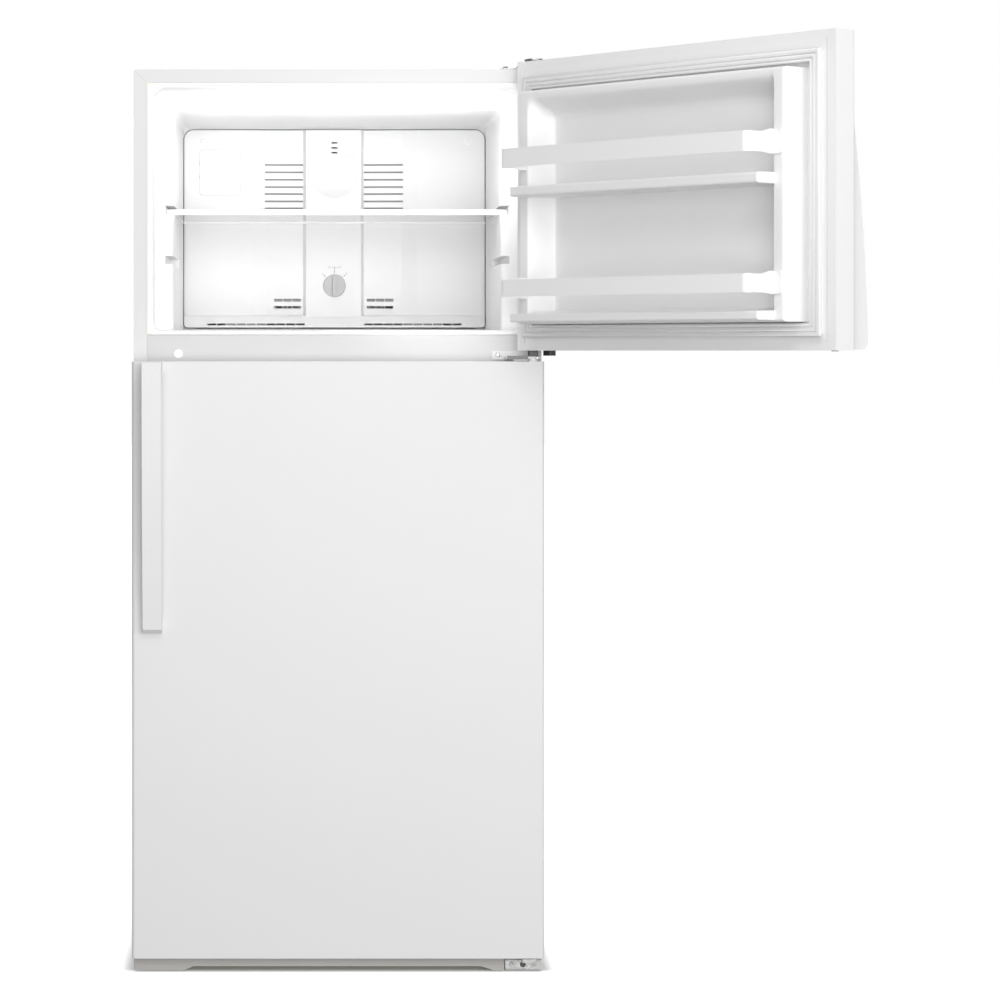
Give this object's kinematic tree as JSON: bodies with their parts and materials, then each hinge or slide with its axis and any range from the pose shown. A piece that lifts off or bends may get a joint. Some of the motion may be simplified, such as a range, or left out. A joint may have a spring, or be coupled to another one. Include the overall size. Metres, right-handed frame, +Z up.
{
  "type": "top freezer refrigerator",
  "caption": "Upright household refrigerator: freezer compartment above, fresh food below, right-hinged doors with bowed handles, glass shelves, drawers and door bins.",
  "frame": {"origin": "centre of the sole of the front left levelling leg, on the floor", "axes": "+Z up, -Y towards the front where the doors are, +X to the right seen from the front"},
  "size_m": [1.2592, 1.3216, 1.6865],
  "materials": {
    "white_enamel": "satin",
    "grey_enamel": "satin",
    "insulation": "matte",
    "liner_plastic": "satin",
    "white_plastic": "satin",
    "gasket_vinyl": "matte",
    "grille_plastic": "satin",
    "knob_plastic": "satin",
    "dark_plastic": "satin",
    "rubber": "matte",
    "zinc_steel": "satin",
    "clear_glass": "polished",
    "shelf_glass": "polished",
    "crisper_plastic": "gloss",
    "fin_aluminium": "satin",
    "black_enamel": "satin",
    "drain_plastic": "matte"
  },
  "bodies": {
    "cabinet": {"cabinet_shell": "white_enamel", "mullion_cover": "white_enamel", "centre_hinge": "white_enamel", "rear_panel": "grey_enamel", "base_frame": "grey_enamel", "cabinet_foam": "insulation", "air_duct": "insulation", "freezer_liner": "liner_plastic", "fresh_food_liner": "liner_plastic", "evaporator_cover": "liner_plastic", "wiring_cover": "liner_plastic", "control_housing": "liner_plastic", "hole_plugs": "white_plastic", "toe_grille": "grille_plastic", "cord_gland": "dark_plastic", "compressor_mounts": "rubber", "top_hinge": "zinc_steel", "bottom_hinge": "zinc_steel", "hinge_screws": "zinc_steel", "roller_brackets": "zinc_steel", "condenser_fan_motor": "zinc_steel", "evaporator_fan_motor": "zinc_steel", "light_bulb": "clear_glass", "fresh_food_shelves": "shelf_glass", "crisper_cover": "shelf_glass", "evaporator_coil": "fin_aluminium", "compressor": "black_enamel", "condenser_coil": "black_enamel", "drain_pan": "drain_plastic", "machine_cover": "drain_plastic"},
    "freezer_door": {"freezer_door_skin": "white_enamel", "freezer_door_liner": "liner_plastic", "freezer_door_foam": "insulation", "freezer_door_gasket": "gasket_vinyl", "freezer_door_caps": "white_plastic", "freezer_door_bushes": "dark_plastic", "freezer_door_handle": "white_plastic"},
    "upper_bar": {"freezer_door_upper_bar": "white_plastic"},
    "lower_bar": {"freezer_door_lower_bar": "white_plastic"},
    "fresh_food_door": {"fresh_food_door_skin": "white_enamel", "fresh_food_door_liner": "liner_plastic", "fresh_food_door_foam": "insulation", "fresh_food_door_gasket": "gasket_vinyl", "fresh_food_door_caps": "white_plastic", "fresh_food_door_handle": "white_plastic"},
    "bin_upper": {"fresh_food_bin_upper": "white_plastic"},
    "bin_lower": {"fresh_food_bin_lower": "white_plastic"},
    "freezer_shelf": {"freezer_shelf_glass": "clear_glass", "freezer_shelf_trim": "white_plastic"},
    "freezer_dial": {"freezer_control_knob": "knob_plastic"},
    "fresh_food_dial": {"fresh_food_control_knob": "knob_plastic"},
    "light_switch": {"light_switch_plunger": "white_plastic"},
    "evaporator_fan": {"evaporator_fan_blade": "dark_plastic"},
    "condenser_fan": {"condenser_fan_blade": "dark_plastic"},
    "roller_left": {"roller_left": "dark_plastic"},
    "roller_right": {"roller_right": "dark_plastic"},
    "leg_left": {"levelling_leg_left": "zinc_steel"},
    "leg_right": {"levelling_leg_right": "zinc_steel"},
    "crisper_left": {"crisper_left": "crisper_plastic"},
    "crisper_right": {"crisper_right": "crisper_plastic"}
  },
  "joints": [
    {"name": "freezer_door_hinge", "type": "hinge", "parent": "cabinet", "child": "freezer_door", "pos_m": [0.704, -0.0495, 1.411], "axis": [0, 0, 1], "range_deg": [-129.5, 15]},
    {"name": "fresh_food_door_hinge", "type": "hinge", "parent": "cabinet", "child": "fresh_food_door", "pos_m": [0.704, -0.0495, 0.579], "axis": [0, 0, 1], "range_deg": [0, 140]},
    {"name": "upper_bar_lift", "type": "slide", "parent": "freezer_door", "child": "upper_bar", "axis": [0, 0, 1], "range_m": [0, 0.028]},
    {"name": "lower_bar_lift", "type": "slide", "parent": "freezer_door", "child": "lower_bar", "axis": [0, 0, 1], "range_m": [0, 0.028]},
    {"name": "bin_upper_lift", "type": "slide", "parent": "fresh_food_door", "child": "bin_upper", "axis": [0, 0, 1], "range_m": [0, 0.025]},
    {"name": "bin_lower_lift", "type": "slide", "parent": "fresh_food_door", "child": "bin_lower", "axis": [0, 0, 1], "range_m": [0, 0.025]},
    {"name": "freezer_shelf_slide", "type": "slide", "parent": "cabinet", "child": "freezer_shelf", "axis": [0, -1, 0], "range_m": [0, 0.1]},
    {"name": "crisper_left_slide", "type": "slide", "parent": "cabinet", "child": "crisper_left", "axis": [0, -1, 0], "range_m": [0, 0.06]},
    {"name": "crisper_right_slide", "type": "slide", "parent": "cabinet", "child": "crisper_right", "axis": [0, -1, 0], "range_m": [0, 0.06]},
    {"name": "freezer_dial_turn", "type": "hinge", "parent": "cabinet", "child": "freezer_dial", "pos_m": [0.345, 0.481, 1.277], "axis": [0, 1, 0], "range_deg": [-45, 45]},
    {"name": "fresh_food_dial_turn", "type": "hinge", "parent": "cabinet", "child": "fresh_food_dial", "pos_m": [0.415, 0.051, 1.068], "axis": [0, 1, 0], "range_deg": [-120, 120]},
    {"name": "light_switch_press", "type": "slide", "parent": "cabinet", "child": "light_switch", "axis": [0, 1, 0], "range_m": [0, 0.005], "stiffness_N_per_m": 300},
    {"name": "evaporator_fan_spin", "type": "hinge", "parent": "cabinet", "child": "evaporator_fan", "pos_m": [0.345, 0.543, 1.505], "axis": [0, 1, 0], "continuous": true},
    {"name": "condenser_fan_spin", "type": "hinge", "parent": "cabinet", "child": "condenser_fan", "pos_m": [0.305, 0.56, 0.125], "axis": [1, 0, 0], "continuous": true},
    {"name": "roller_left_spin", "type": "hinge", "parent": "cabinet", "child": "roller_left", "pos_m": [0.014, 0.625, 0.016], "axis": [1, 0, 0], "continuous": true},
    {"name": "roller_right_spin", "type": "hinge", "parent": "cabinet", "child": "roller_right", "pos_m": [0.676, 0.625, 0.016], "axis": [1, 0, 0], "continuous": true},
    {"name": "leg_left_turn", "type": "hinge", "parent": "cabinet", "child": "leg_left", "pos_m": [0, 0, 0.03], "axis": [0, 0, 1], "continuous": true},
    {"name": "leg_right_turn", "type": "hinge", "parent": "cabinet", "child": "leg_right", "pos_m": [0.69, 0, 0.03], "axis": [0, 0, 1], "continuous": true}
  ]
}
